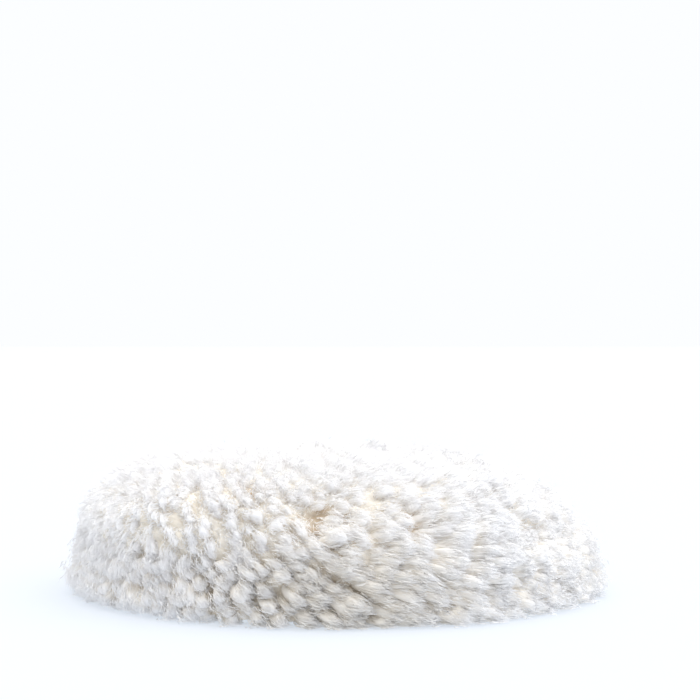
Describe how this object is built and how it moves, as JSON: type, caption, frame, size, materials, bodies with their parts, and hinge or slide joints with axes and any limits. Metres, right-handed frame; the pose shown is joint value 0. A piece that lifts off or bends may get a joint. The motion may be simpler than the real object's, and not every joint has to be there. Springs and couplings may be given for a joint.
{
  "type": "polishing pad",
  "caption": "Single-sided cut-pile wool polishing pad with a foam core and a loop face with a centring hole, for a hook-faced backing plate",
  "frame": {"origin": "centre of the loop face's plane, at the bottom of the pad, on its spin axis", "axes": "+Z is the spin axis and points out of the pile, away from the backing plate; the pad is round, so X and Y are any two directions across it"},
  "size_m": [0.165, 0.165, 0.042],
  "materials": {
    "wool": "cut-pile lambswool yarn, undyed cream",
    "cloth": "plain-woven undyed backing cloth",
    "loop_fabric": "napped loop fabric",
    "foam": "open-cell polyurethane foam",
    "latex": "dried latex coating",
    "adhesive": "clear contact adhesive",
    "thread": "bonded polyester sewing thread"
  },
  "bodies": {
    "root": {"loop_disc": "loop_fabric", "loop_adhesive": "adhesive", "foam_core": "foam", "latex_coat": "latex", "backing_cloth": "cloth", "rim_stitches": "thread", "bobbin_thread": "thread", "pile_row_01": "wool", "pile_row_02": "wool", "pile_row_03": "wool", "pile_row_04": "wool", "pile_row_05": "wool", "pile_row_06": "wool", "pile_row_07": "wool", "pile_row_08": "wool", "pile_row_09": "wool", "pile_row_10": "wool", "pile_row_11": "wool", "pile_row_12": "wool", "pile_row_13": "wool", "pile_row_14": "wool", "pile_row_15": "wool", "pile_row_16": "wool", "pile_row_17": "wool", "pile_row_18": "wool"}
  },
  "joints": []
}
